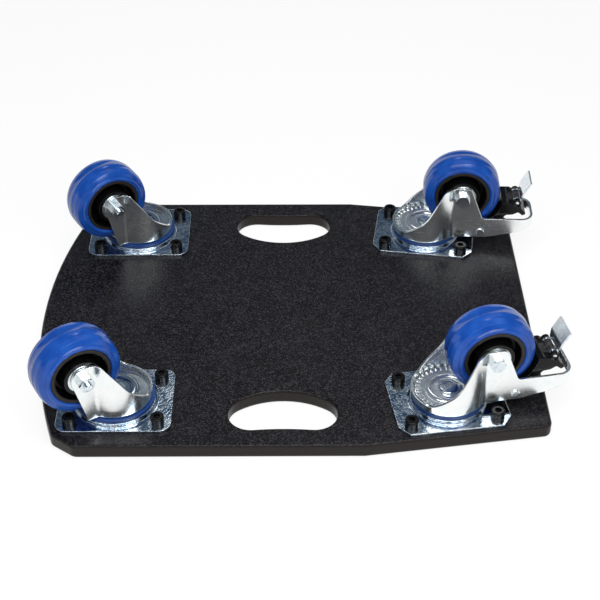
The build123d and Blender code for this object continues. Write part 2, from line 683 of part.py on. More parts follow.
# Brake, drawn released; it swings about its pivot until the pad meets the tyre
def pad_centre():
    """Centre of the pad's hollow: the axle, swung back about the pivot by the brake's travel."""
    back = Pos(*PIVOT) * Rot(0, 0, -BRAKE_TRAVEL) * Pos(TRAIL - PIVOT[0], AXLE_Z - PIVOT[1])
    return (back.position.X, back.position.Y)


def cross_plate(margin):
    """Side view of the core's upright cross plate, whose edge shows on top of the lever."""
    top = AXLE_Z - LEVER_TOP_DROP
    x = PEDAL_PIN[0] + LEVER_SHELF_END - WINDOW_LENGTH / 2
    width = CROSS_PLATE_SHEET + 2 * margin
    return Pos(x, top) * Rectangle(width, CROSS_PLATE_DEPTH + margin, align=(Align.CENTER, Align.MAX))


def core_profile(margin):
    """Side view of the bent steel core from its finger to the pedal pin, grown by a margin."""
    finger_x = TOOTH_RING_RADIUS - TOOTH_LENGTH + SIDE_GAP - margin
    finger_z = CAP_TOP + FINGER_LIFT + CORE_SHEET / 2
    waist = around_axle(WHEEL_RADIUS + CORE_WAIST_GAP, CORE_WAIST_ANGLE)
    bend = around_axle(WHEEL_RADIUS + CORE_BEND_GAP, CORE_BEND_ANGLE)
    eye_lead = (PIVOT[0] - CORE_EYE_LEAD, finger_z)
    path = Polyline((finger_x, finger_z), eye_lead, PIVOT, waist, bend, PEDAL_PIN)
    pivot_eye = Pos(*PIVOT) * Circle(PIVOT_BOSS_RADIUS + margin)
    pin_eye = Pos(*PEDAL_PIN) * Circle(EAR_RADIUS + margin)
    return trace(path, CORE_SHEET + 2 * margin) + pivot_eye + pin_eye


def brake_core():
    """Steel core of the brake: finger for the tooth ring, cross plate, eyes for pivot and pedal pin."""
    half = CORE_WIDTH / 2
    core = across(core_profile(0), -half, half)
    core += across(cross_plate(0), -CROSS_PLATE_WIDTH / 2, CROSS_PLATE_WIDTH / 2)
    finger_length = TOOTH_LENGTH + FINGER_ROOT
    beside_finger = Pos(TOOTH_RING_RADIUS + FINGER_ROOT, FINGER_WIDTH / 2, 0) * Box(
        finger_length, half, AXLE_Z, align=(Align.MAX, Align.MIN, Align.MIN)
    )
    core -= both_sides(beside_finger)
    core -= crosswise(PIVOT, PIVOT_RADIUS + FIT_GAP, -half, half)
    return core - crosswise(PEDAL_PIN, PEDAL_PIN_RADIUS + FIT_GAP, -half, half)


def lever_profile():
    """Side view of the brake lever's moulded body before the pad is hollowed."""
    pin_x, pin_z = PEDAL_PIN
    pivot_x, pivot_z = PIVOT
    top = AXLE_Z - LEVER_TOP_DROP
    corners = [(pivot_x + PIVOT_GAP, top, 0), (pin_x + LEVER_SHELF_END, top, LEVER_ROUNDING)]
    for x, z in (LEVER_SADDLE, TOE_ROOT, TOE_TIP, TOE_HEEL, TOE_NOTCH):
        corners.append((pin_x + x, pin_z + z, LEVER_ROUNDING))
    for x, z in (BELLY_REAR, BELLY_FRONT):
        corners.append((pin_x + x, pin_z + z, BELLY_ROUNDING))
    corners.append((pivot_x + LEVER_FOOT_REAR[0], pivot_z + LEVER_FOOT_REAR[1], LEVER_ROUNDING))
    corners.append((pivot_x + LEVER_FOOT_FRONT[0], pivot_z + LEVER_FOOT_FRONT[1], 0))
    return rounded_face(corners)


def brake_lever():
    """Moulded lever: hollowed pad towards the tyre, slots for the core, ears for the pedal pin and a toe."""
    boss_end = HALF_FORK_GAP - SIDE_GAP
    core_half = CORE_WIDTH / 2 + SIDE_GAP
    ear_start = core_half + KNUCKLE_WIDTH + SIDE_GAP
    plate_half = CROSS_PLATE_WIDTH / 2 + SIDE_GAP
    window = Pos(PEDAL_PIN[0] + LEVER_SHELF_END, PEDAL_PIN[1] - WINDOW_DEPTH) * Rectangle(
        WINDOW_LENGTH, 2 * LEVER_TOP_DROP, align=(Align.CENTER, Align.MIN)
    )
    lever = across(lever_profile(), -HALF_LEVER, HALF_LEVER)
    lever += crosswise(PIVOT, PIVOT_BOSS_RADIUS, -boss_end, boss_end)
    lever -= crosswise(pad_centre(), WHEEL_RADIUS + PAD_GAP, -HALF_LEVER, HALF_LEVER)
    lever += both_sides(crosswise(PEDAL_PIN, EAR_RADIUS, ear_start, ear_start + EAR_WIDTH))
    lever -= across(core_profile(SIDE_GAP), -core_half, core_half)
    lever -= across(cross_plate(SIDE_GAP / 2), -plate_half, plate_half)
    lever -= across(window, -core_half, core_half)
    lever -= crosswise(PEDAL_PIN, EAR_RADIUS + 2 * SIDE_GAP, -ear_start, ear_start)
    lever -= crosswise(PIVOT, PIVOT_RADIUS + FIT_GAP, -boss_end, boss_end)
    return lever - crosswise(PEDAL_PIN, PEDAL_PIN_RADIUS + FIT_GAP, -HALF_LEVER, HALF_LEVER)


def pivot_pin():
    """Riveted pin across the cheeks that the brake swings on."""
    pin = crosswise(PIVOT, PIVOT_RADIUS, -HALF_FORK, HALF_FORK)
    head = crosswise(PIVOT, RIVET_HEAD_RADIUS, HALF_FORK, HALF_FORK + RIVET_HEAD_HEIGHT)
    head = fillet(head.edges().sort_by(Axis.Y)[-1], RIVET_HEAD_ROUNDING)
    return pin + both_sides(head)


def pedal_pin():
    """Pin that joins pedal, core and lever."""
    reach = CORE_WIDTH / 2 + 2 * SIDE_GAP + KNUCKLE_WIDTH + EAR_WIDTH
    return crosswise(PEDAL_PIN, PEDAL_PIN_RADIUS, -reach, reach)


def pedal_outline(root_x, half_root):
    """Blank of the pedal flap seen from behind: it widens from its knuckles to the bend."""
    half = PEDAL_WIDTH / 2
    pin_z = PEDAL_PIN[1]
    bend_z = pin_z + PEDAL_BEND[1]
    tip_z = pin_z + PEDAL_TIP[1] + PEDAL_SHEET
    face = rounded_face(
        [
            (-half_root, pin_z, 0),
            (half_root, pin_z, 0),
            (half, bend_z, 0),
            (half, tip_z, PEDAL_CORNER_RADIUS),
            (-half, tip_z, PEDAL_CORNER_RADIUS),
            (-half, bend_z, 0),
        ]
    )
    return Pos(root_x - PEDAL_SHEET, 0, 0) * extrude(Plane.YZ * face, PEDAL_TIP[0] + 2 * PEDAL_SHEET)


def brake_pedal():
    """Bent steel flap that the foot presses, turning on the pedal pin by two knuckles."""
    pin_x, pin_z = PEDAL_PIN
    root_x = pin_x + EAR_RADIUS - PEDAL_SHEET / 2
    bend = (root_x + PEDAL_BEND[0], pin_z + PEDAL_BEND[1])
    tip = (root_x + PEDAL_TIP[0], pin_z + PEDAL_TIP[1])
    path = FilletPolyline((root_x, pin_z), bend, tip, radius=PEDAL_BEND_RADIUS)
    inner = CORE_WIDTH / 2 + 2 * SIDE_GAP
    outer = inner + KNUCKLE_WIDTH - SIDE_GAP
    clear = EAR_RADIUS + 4 * SIDE_GAP
    flap = across(trace(path, PEDAL_SHEET), -PEDAL_WIDTH / 2, PEDAL_WIDTH / 2)
    flap &= pedal_outline(root_x, outer)
    flap -= both_sides(crosswise(PEDAL_PIN, clear, outer, PEDAL_WIDTH / 2))
    flap -= crosswise(PEDAL_PIN, clear, -inner, inner)
    flap += both_sides(crosswise(PEDAL_PIN, EAR_RADIUS, inner, outer))
    return flap - crosswise(PEDAL_PIN, PEDAL_PIN_RADIUS + FIT_GAP, -outer, outer)


# Nodes
def all_nodes():
    """Every node of the board and its casters by name, each a list of placed solids."""
    nodes = {
        "board": [board()],
        "plate_screws": [spot * plate_screw() for spot in screw_spots()],
        "insert_nuts": [spot * insert_nut() for spot in screw_spots()],
        "kingpins": [caster_spot(caster) * kingpin() for caster in CASTERS.values()],
    }
    for name, caster in CASTERS.items():
        plate, swivel, braked = plate_spot(caster), fork_spot(caster), caster["braked"]
        cap = tooth_ring() if braked else swivel_cap(CAP_RADIUS)
        nodes[f"mount_plate_{name}"] = [plate * mount_plate(braked)]
        nodes[f"dust_seal_{name}"] = [plate * dust_seal(braked)]
        nodes[f"swivel_balls_{name}"] = [swivel * ball for ball in swivel_balls()]
        nodes[f"{'tooth_ring' if braked else 'swivel_cap'}_{name}"] = [swivel * cap]
        nodes[f"fork_{name}"] = [swivel * fork(braked)]
        nodes[f"tyre_{name}"] = [swivel * tyre()]
        nodes[f"wheel_rim_{name}"] = [swivel * wheel_rim()]
        nodes[f"wheel_bearings_{name}"] = [swivel * ring for ring in wheel_bearings()]
        nodes[f"axle_sleeve_{name}"] = [swivel * axle_sleeve()]
        nodes[f"axle_bolt_{name}"] = [swivel * axle_bolt()]
        nodes[f"axle_nut_{name}"] = [swivel * axle_nut()]
        if braked:
            nodes[f"brake_lever_{name}"] = [swivel * brake_lever()]
            nodes[f"brake_core_{name}"] = [swivel * brake_core()]
            nodes[f"pivot_pin_{name}"] = [swivel * pivot_pin()]
            nodes[f"pedal_pin_{name}"] = [swivel * pedal_pin()]
            nodes[f"brake_pedal_{name}"] = [swivel * brake_pedal()]
    return nodes


os.makedirs("parts", exist_ok=True)
for node, solids in all_nodes().items():
    export_step(solids[0] if len(solids) == 1 else Compound(children=solids), f"parts/{node}.step")
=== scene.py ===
"""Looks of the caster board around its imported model: finishes, finer tyres, stage, light and camera."""

import json
import logging
import math
from abc import ABC, abstractmethod
from dataclasses import dataclass
from enum import Enum
from typing import Any, ClassVar, Mapping, Optional, Sequence

import bpy
from mathutils import Matrix, Vector

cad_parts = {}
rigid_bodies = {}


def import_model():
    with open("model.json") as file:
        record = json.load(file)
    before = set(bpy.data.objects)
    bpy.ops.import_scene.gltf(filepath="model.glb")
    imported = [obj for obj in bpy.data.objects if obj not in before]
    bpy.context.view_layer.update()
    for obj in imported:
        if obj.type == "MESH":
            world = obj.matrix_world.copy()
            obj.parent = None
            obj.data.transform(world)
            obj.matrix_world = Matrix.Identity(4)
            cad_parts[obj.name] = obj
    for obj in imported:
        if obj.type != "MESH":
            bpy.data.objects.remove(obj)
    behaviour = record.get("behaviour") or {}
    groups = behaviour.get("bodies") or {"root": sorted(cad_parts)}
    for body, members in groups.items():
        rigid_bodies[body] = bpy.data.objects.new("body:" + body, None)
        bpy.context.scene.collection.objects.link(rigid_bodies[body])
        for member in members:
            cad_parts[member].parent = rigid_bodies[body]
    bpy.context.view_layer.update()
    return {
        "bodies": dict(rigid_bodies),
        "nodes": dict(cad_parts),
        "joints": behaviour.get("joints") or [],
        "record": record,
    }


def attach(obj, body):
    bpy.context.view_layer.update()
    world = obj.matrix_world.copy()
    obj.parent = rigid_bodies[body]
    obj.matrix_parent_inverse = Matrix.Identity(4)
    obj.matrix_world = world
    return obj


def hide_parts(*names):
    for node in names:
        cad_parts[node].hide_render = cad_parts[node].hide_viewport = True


LOG = logging.getLogger("caster_board")
MM = 0.001

Colour = tuple[float, float, float]
Point = tuple[float, float, float]
Corner = tuple[float, float, float]
Span = tuple[float, float]
Socket = bpy.types.NodeSocket
Sockets = Mapping[str, bpy.types.NodeSocket]

RISING: Span = (0.0, 1.0)
FALLING: Span = (1.0, 0.0)
WHITE: Colour = (1.0, 1.0, 1.0)


class Graph:
    """Adds nodes to a node tree and links their sockets."""

    # Places of the colour sockets on Blender's Mix node
    MIX_FIRST = 6
    MIX_SECOND = 7
    MIX_RESULT = 2

    def __init__(self, tree: bpy.types.NodeTree) -> None:
        """Starts on a tree.

        Args:
            tree: The node tree of a material, group or world.
        """
        self.tree = tree

    def add(self, kind: str, inputs: Optional[dict[Any, Any]] = None, **settings: Any) -> bpy.types.Node:
        """Adds one node.

        Args:
            kind: Blender's node type.
            inputs: Values or sockets by input name or index.
            **settings: Properties of the node.

        Returns:
            The new node.
        """
        node = self.tree.nodes.new(kind)
        for name, value in settings.items():
            setattr(node, name, value)
        for key, value in (inputs or {}).items():
            if isinstance(value, bpy.types.NodeSocket):
                self.link(value, node.inputs[key])
            else:
                node.inputs[key].default_value = value
        return node

    def link(self, source: Socket, target: Socket) -> None:
        """Links an output to an input."""
        self.tree.links.new(source, target)

    def math(self, operation: str, *values: Any, clamp: bool = False) -> Socket:
        """Adds a Math node.

        Args:
            operation: The sum to do.
            *values: Numbers or sockets.
            clamp: Whether the result stays between 0 and 1.

        Returns:
            The result's socket.
        """
        node = self.add("ShaderNodeMath", dict(enumerate(values)), operation=operation, use_clamp=clamp)
        return node.outputs[0]

    def ramp(self, value: Socket, span: Span, result: Span = RISING) -> Socket:
        """Maps a value smoothly from one span to another.

        Args:
            value: The socket to map.
            span: Where its span starts and ends.
            result: Results at the start and at the end.

        Returns:
            The mapped socket.
        """
        settings = {"Value": value, "From Min": span[0], "From Max": span[1],
                    "To Min": result[0], "To Max": result[1]}
        return self.add("ShaderNodeMapRange", settings, interpolation_type="SMOOTHSTEP").outputs[0]

    def mix(self, factor: Any, first: Any, second: Any) -> Socket:
        """Mixes two colours.

        Args:
            factor: Share of the second colour.
            first: A colour or its socket.
            second: A colour or its socket.

        Returns:
            The mixed colour's socket.
        """
        node = self.add("ShaderNodeMix", {"Factor": factor}, data_type="RGBA", clamp_factor=True)
        for index, value in ((self.MIX_FIRST, first), (self.MIX_SECOND, second)):
            if isinstance(value, bpy.types.NodeSocket):
                self.link(value, node.inputs[index])
            else:
                node.inputs[index].default_value = (*value, 1.0)
        return node.outputs[self.MIX_RESULT]

    def noise(self, place: Socket, scale: Any, detail: float, rough: float = 0.5) -> Socket:
        """Adds a noise pattern.

        Args:
            place: Coordinates that it reads.
            scale: Clouds in a metre, as a number or a socket.
            detail: How many finer layers it has.
            rough: How strong each finer layer is.

        Returns:
            The pattern's socket.
        """
        settings = {"Vector": place, "Scale": scale, "Detail": detail, "Roughness": rough}
        return self.add("ShaderNodeTexNoise", settings).outputs[0]

    def parts(self, vector: Socket) -> Sockets:
        """Splits a vector into its X, Y and Z."""
        return self.add("ShaderNodeSeparateXYZ", {0: vector}).outputs

    def reach(self, place: Socket) -> Socket:
        """Measures the distance from the Z axis.

        Args:
            place: Coordinates that it reads.

        Returns:
            The distance's socket.
        """
        parts = self.parts(place)
        flat = self.add("ShaderNodeCombineXYZ", {"X": parts["X"], "Y": parts["Y"]}).outputs[0]
        return self.add("ShaderNodeVectorMath", {0: flat}, operation="LENGTH").outputs["Value"]

    def bump(self, height: Socket, strength: float, distance: float,
             normal: Optional[Socket] = None) -> Socket:
        """Turns a height into a bumped normal.

        Args:
            height: The height's socket.
            strength: How much of the bump shows.
            distance: Depth of a whole step of height, in metres.
            normal: The normal that it starts from, in place of the mesh's own.

        Returns:
            The normal's socket.
        """
        settings = {"Height": height, "Strength": strength, "Distance": distance}
        if normal is not None:
            settings["Normal"] = normal
        return self.add("ShaderNodeBump", settings).outputs[0]


@dataclass(frozen=True)
class Effect(ABC):
    """A surface effect that several finishes share: a node group that is built once."""

    built: ClassVar[dict[str, bpy.types.NodeTree]] = {}
    inputs: ClassVar[dict[str, float]]
    outputs: ClassVar[dict[str, str]]

    @abstractmethod
    def wire(self, graph: Graph, start: Sockets, end: Sockets) -> None:
        """Wires the group's nodes.

        Args:
            graph: The group's graph.
            start: What comes into the group, by name.
            end: What goes out of it, by name.
        """

    def tree(self) -> bpy.types.NodeTree:
        """Hands out the group, which is built at the first call.

        Returns:
            The group's node tree.
        """
        name = type(self).__name__
        if name in self.built:
            return self.built[name]
        tree = bpy.data.node_groups.new(name, "ShaderNodeTree")
        tree.interface.new_socket("Place", in_out="INPUT", socket_type="NodeSocketVector")
        for label, value in self.inputs.items():
            socket = tree.interface.new_socket(label, in_out="INPUT", socket_type="NodeSocketFloat")
            socket.default_value = value
        for label, kind in self.outputs.items():
            tree.interface.new_socket(label, in_out="OUTPUT", socket_type=kind)
        graph = Graph(tree)
        self.wire(graph, graph.add("NodeGroupInput").outputs, graph.add("NodeGroupOutput").inputs)
        self.built[name] = tree
        return tree

    def placed(self, graph: Graph, place: Socket, **values: float) -> Sockets:
        """Places the effect in a material.

        Args:
            graph: The material's graph.
            place: Coordinates that it reads.
            **values: Its inputs by name.

        Returns:
            Its outputs by name.
        """
        node = graph.add("ShaderNodeGroup", {"Place": place, **values}, node_tree=self.tree())
        return node.outputs


@dataclass(frozen=True)
class Pebble(Effect):
    """Pebbled skin: rounded grains of uneven tone, roughened by fine noise; on the board its light grains
    are partly painted glints.
    """

    inputs: ClassVar[dict[str, float]] = {"Scale": 400.0, "Fine": 0.35}
    outputs: ClassVar[dict[str, str]] = {"Height": "NodeSocketFloat", "Tone": "NodeSocketFloat"}
    dome_span: Span = (0.0, 0.75)
    fine_ratio: float = 2.7
    fine_detail: float = 1.0
    bright_span: Span = (0.6, 1.0)
    patch_scale: float = 14.0
    patch_detail: float = 3.0
    patch_share: float = 0.15

    def wire(self, graph: Graph, start: Sockets, end: Sockets) -> None:
        """Wires domed grains, of which some are bright, and wide patches.

        Args:
            graph: The group's graph.
            start: What comes into the group, by name.
            end: What goes out of it, by name.
        """
        place, scale = start["Place"], start["Scale"]
        grains = graph.add("ShaderNodeTexVoronoi", {"Vector": place, "Scale": scale, "Randomness": 1.0})
        domes = graph.ramp(grains.outputs["Distance"], self.dome_span, FALLING)
        fine = graph.noise(place, graph.math("MULTIPLY", scale, self.fine_ratio), self.fine_detail)
        graph.link(graph.math("MULTIPLY_ADD", fine, start["Fine"], domes), end["Height"])
        # Some grains are lighter: uneven tone, and on the board painted glints.
        bright = graph.ramp(graph.parts(grains.outputs["Color"])["X"], self.bright_span)
        patches = graph.noise(place, self.patch_scale, self.patch_detail)
        graph.link(graph.math("MULTIPLY_ADD", patches, self.patch_share, bright), end["Tone"])


@dataclass(frozen=True)
class RoundedEdge(Effect):
    """Rounded edges: a broken mask along them and a softened normal."""

    inputs: ClassVar[dict[str, float]] = {"Radius": 0.0006, "Breakup": 0.5}
    outputs: ClassVar[dict[str, str]] = {"Mask": "NodeSocketFloat", "Normal": "NodeSocketVector"}
    samples: int = 8
    turn_span: Span = (0.05, 0.2)
    break_scale: float = 160.0
    break_detail: float = 4.0
    break_span: Span = (0.38, 0.62)

    def wire(self, graph: Graph, start: Sockets, end: Sockets) -> None:
        """Wires the mask where the rounding turns the normal.

        Args:
            graph: The group's graph.
            start: What comes into the group, by name.
            end: What goes out of it, by name.
        """
        bevel = graph.add("ShaderNodeBevel", {"Radius": start["Radius"]}, samples=self.samples).outputs[0]
        normal = graph.add("ShaderNodeNewGeometry").outputs["Normal"]
        dot = graph.add("ShaderNodeVectorMath", {0: bevel, 1: normal}, operation="DOT_PRODUCT")
        line = graph.ramp(graph.math("SUBTRACT", 1.0, dot.outputs["Value"]), self.turn_span)
        noise = graph.noise(start["Place"], self.break_scale, self.break_detail)
        kept = graph.math("SUBTRACT", 1.0, start["Breakup"])
        share = graph.math("MULTIPLY_ADD", graph.ramp(noise, self.break_span), start["Breakup"], kept)
        graph.link(graph.math("MULTIPLY", line, share), end["Mask"])
        graph.link(bevel, end["Normal"])


@dataclass(frozen=True)
class Mottle(Effect):
    """Clouds, finer flakes and long fine rolling marks, as plating and oxide have."""

    inputs: ClassVar[dict[str, float]] = {"Scale": 90.0, "Spangle": 0.35, "Marks": 0.4}
    outputs: ClassVar[dict[str, str]] = {"Tone": "NodeSocketFloat", "Rough": "NodeSocketFloat",
                                         "Height": "NodeSocketFloat"}
    cloud_detail: float = 5.0
    cloud_rough: float = 0.62
    cloud_span: Span = (0.34, 0.66)
    flake_ratio: float = 5.0
    flake_detail: float = 2.0
    flake_span: Span = (0.42, 0.62)
    mark_scale: Point = (40.0, 900.0, 900.0)
    mark_detail: float = 2.0
    cloud_share: float = 0.6

    def wire(self, graph: Graph, start: Sockets, end: Sockets) -> None:
        """Wires tone and roughness from the clouds, and height from flakes and marks.

        Args:
            graph: The group's graph.
            start: What comes into the group, by name.
            end: What goes out of it, by name.
        """
        place, scale = start["Place"], start["Scale"]
        cloud = graph.ramp(graph.noise(place, scale, self.cloud_detail, self.cloud_rough), self.cloud_span)
        flakes = graph.noise(place, graph.math("MULTIPLY", scale, self.flake_ratio), self.flake_detail)
        flake = graph.math("MULTIPLY", graph.ramp(flakes, self.flake_span), start["Spangle"])
        calm = graph.math("SUBTRACT", 1.0, start["Spangle"])
        graph.link(graph.math("MULTIPLY_ADD", cloud, calm, flake), end["Tone"])
        stretched = graph.add("ShaderNodeMapping", {"Vector": place, "Scale": self.mark_scale}).outputs[0]
        marks = graph.math("MULTIPLY", graph.noise(stretched, 1.0, self.mark_detail), start["Marks"])
        graph.link(graph.math("MULTIPLY_ADD", cloud, self.cloud_share, marks, clamp=True), end["Rough"])
        graph.link(graph.math("ADD", marks, flake), end["Height"])


@dataclass(frozen=True)
class Dust(Effect):
    """Thin dust that settles on what faces up, in patches."""

    inputs: ClassVar[dict[str, float]] = {"Amount": 0.2}
    outputs: ClassVar[dict[str, str]] = {"Mask": "NodeSocketFloat"}
    up_span: Span = (0.2, 1.0)
    patch_scale: float = 60.0
    patch_detail: float = 6.0
    patch_rough: float = 0.7
    patch_span: Span = (0.42, 0.7)

    def wire(self, graph: Graph, start: Sockets, end: Sockets) -> None:
        """Wires the mask from the normal and from noise.

        Args:
            graph: The group's graph.
            start: What comes into the group, by name.
            end: What goes out of it, by name.
        """
        normal = graph.add("ShaderNodeNewGeometry").outputs["Normal"]
        up = graph.ramp(graph.parts(normal)["Z"], self.up_span)
        noise = graph.noise(start["Place"], self.patch_scale, self.patch_detail, self.patch_rough)
        settled = graph.math("MULTIPLY", up, graph.ramp(noise, self.patch_span))
        graph.link(graph.math("MULTIPLY", settled, start["Amount"]), end["Mask"])


class Finish(ABC):
    """One finish of the object: makes a material whose detail comes from its nodes. Lengths in metres."""

    name: str

    @abstractmethod
    def paint(self, graph: Graph, place: Socket, shader: Sockets) -> None:
        """Wires the finish's nodes to the shader.

        Args:
            graph: The material's graph.
            place: Object coordinates, in metres.
            shader: Inputs of the material's Principled BSDF, by name.
        """

    def material(self, suffix: str = "", centre: Optional[Matrix] = None) -> bpy.types.Material:
        """Makes the material.

        Args:
            suffix: Added to the name where a finish has one material per piece.
            centre: Place of the piece's own axes, for a pattern that runs about them.

        Returns:
            The new material.
        """
        material = bpy.data.materials.new(self.name + suffix)
        material.use_nodes = True
        graph = Graph(material.node_tree)
        place = graph.add("ShaderNodeTexCoord").outputs["Object"]
        if centre is not None:
            inverse = centre.inverted()
            settings = {"Vector": place, "Location": inverse.translation, "Rotation": inverse.to_euler()}
            place = graph.add("ShaderNodeMapping", settings).outputs[0]
        self.paint(graph, place, material.node_tree.nodes["Principled BSDF"].inputs)
        return material


@dataclass(frozen=True)
class PebbledPaint(Finish):
    """Black paint with a pebbled skin whose light grains are partly painted glints, smoother and browner on
    the board's sides, worn along its edges.
    """

    name: str = "pebbled_black_paint"
    low: Colour = (0.0006, 0.0004, 0.0007)
    # Colour of the light grains: random grain tone, and partly painted glints of the pebbled skin.
    high: Colour = (0.034, 0.0308, 0.0360)
    side: Colour = (0.0125, 0.0096, 0.0080)
    worn: Colour = (0.110, 0.104, 0.100)
    dusty: Colour = (0.08, 0.08, 0.085)
    grain: float = 950.0
    fine: float = 0.4
    level_span: Span = (0.3, 0.9)
    side_height: Span = (0.25, 1.0)
    bump_strength: float = 0.8
    bump_depth: float = 0.00014
    tone_span: Span = (0.0, 1.2)
    rough: Span = (0.30, 0.44)
    edge_radius: float = 0.0018
    edge_breakup: float = 0.6
    edge_share: float = 0.5
    dust: float = 0.06
    gloss: float = 0.22

    def paint(self, graph: Graph, place: Socket, shader: Sockets) -> None:
        """Wires speckled tone, whose light grains are partly painted glints, bumps, worn edges and dust.

        Args:
            graph: The material's graph.
            place: Object coordinates, in metres.
            shader: Inputs of the material's Principled BSDF, by name.
        """
        pebble = Pebble().placed(graph, place, Scale=self.grain, Fine=self.fine)
        edge = RoundedEdge().placed(graph, place, Radius=self.edge_radius, Breakup=self.edge_breakup)
        dust = Dust().placed(graph, place, Amount=self.dust)
        normal = graph.add("ShaderNodeNewGeometry").outputs["Normal"]
        level = graph.math("ABSOLUTE", graph.parts(normal)["Z"])
        # The speckle's light grains are partly painted glints.
        face = graph.mix(pebble["Tone"], self.low, self.high)
        tone = graph.mix(graph.ramp(level, self.level_span), self.side, face)
        worn = graph.mix(graph.math("MULTIPLY", edge["Mask"], self.edge_share), tone, self.worn)
        graph.link(graph.mix(dust["Mask"], worn, self.dusty), shader["Base Color"])
        graph.link(graph.ramp(pebble["Tone"], self.tone_span, self.rough), shader["Roughness"])
        share = graph.ramp(level, self.level_span, self.side_height)
        height = graph.math("MULTIPLY", pebble["Height"], share)
        bump = graph.bump(height, self.bump_strength, self.bump_depth, edge["Normal"])
        graph.link(bump, shader["Normal"])
        shader["Specular IOR Level"].default_value = self.gloss


@dataclass(frozen=True)
class BrightZinc(Finish):
    """Bright zinc plating on pressed steel: bluish clouds, fine rolling marks, satin above a height, and
    pale edges that are partly bare zinc and partly a painted highlight.
    """

    name: str = "bright_zinc"
    pale: Colour = (0.88, 0.91, 0.92)
    deep: Colour = (0.60, 0.70, 0.76)
    # Pale edge colour: bare zinc, and a painted highlight along the rounded edges.
    bare: Colour = (0.96, 0.97, 0.97)
    cloud: float = 60.0
    spangle: float = 0.35
    marks: float = 0.35
    mottle_span: Span = (0.1, 0.9)
    rough: Span = (0.12, 0.26)
    satin_rough: float = 0.0
    satin_span: Span = (0.031, 0.039)
    wave: float = 0.25
    wave_depth: float = 0.0001
    edge_radius: float = 0.0005
    edge_breakup: float = 0.25
    edge_share: float = 0.6
    metal: float = 1.0

    def paint(self, graph: Graph, place: Socket, shader: Sockets) -> None:
        """Wires cloudy tone, roughness and rounded edges, whose pale colour is partly a painted highlight.

        Args:
            graph: The material's graph.
            place: Object coordinates, in metres.
            shader: Inputs of the material's Principled BSDF, by name.
        """
        mottle = Mottle().placed(graph, place, Scale=self.cloud, Spangle=self.spangle, Marks=self.marks)
        edge = RoundedEdge().placed(graph, place, Radius=self.edge_radius, Breakup=self.edge_breakup)
        tone = graph.mix(mottle["Tone"], self.deep, self.pale)
        # Share of the pale edge colour along the rounded edges: a painted highlight.
        bright = graph.math("MULTIPLY", edge["Mask"], self.edge_share)
        graph.link(graph.mix(bright, tone, self.bare), shader["Base Color"])
        rough = graph.ramp(mottle["Rough"], self.mottle_span, self.rough)
        satin = graph.ramp(graph.parts(place)["Z"], self.satin_span)
        graph.link(graph.math("MULTIPLY_ADD", satin, self.satin_rough, rough), shader["Roughness"])
        bump = graph.bump(mottle["Height"], self.wave, self.wave_depth, edge["Normal"])
        graph.link(bump, shader["Normal"])
        shader["Metallic"].default_value = self.metal


@dataclass(frozen=True)
class BlueRubber(Finish):
    """Blue elastic tyre rubber with fine turned rings about the axle and a satin skin."""

    name: str = "blue_rubber"
    deep: Colour = (0.006, 0.050, 0.285)
    clear: Colour = (0.010, 0.074, 0.360)
    dusty: Colour = (0.12, 0.22, 0.45)
    cloud: float = 55.0
    cloud_detail: float = 4.0
    cloud_span: Span = (0.3, 0.7)
    rough: Span = (0.13, 0.21)
    ring_pitch: float = 0.0019
    ring_share: float = 0.3
    skin: float = 1500.0
    skin_detail: float = 2.0
    skin_share: float = 0.4
    bump_strength: float = 0.1
    bump_depth: float = 0.00005
    dust: float = 0.04
    gloss: float = 0.36

    def paint(self, graph: Graph, place: Socket, shader: Sockets) -> None:
        """Wires rings about the axle, soft clouds and a trace of dust.

        Args:
            graph: The material's graph.
            place: Coordinates about the axle, in metres.
            shader: Inputs of the material's Principled BSDF, by name.
        """
        cloud = graph.noise(place, self.cloud, self.cloud_detail)
        dust = Dust().placed(graph, place, Amount=self.dust)
        tone = graph.mix(graph.ramp(cloud, self.cloud_span), self.deep, self.clear)
        graph.link(graph.mix(dust["Mask"], tone, self.dusty), shader["Base Color"])
        graph.link(graph.ramp(cloud, self.cloud_span, self.rough), shader["Roughness"])
        along = graph.math("ADD", graph.reach(place), graph.parts(place)["Z"])
        rings = graph.math("SINE", graph.math("MULTIPLY", along, math.tau / self.ring_pitch))
        skin = graph.math("MULTIPLY", graph.noise(place, self.skin, self.skin_detail), self.skin_share)
        height = graph.math("MULTIPLY_ADD", rings, self.ring_share, skin)
        graph.link(graph.bump(height, self.bump_strength, self.bump_depth), shader["Normal"])
        shader["Specular IOR Level"].default_value = self.gloss


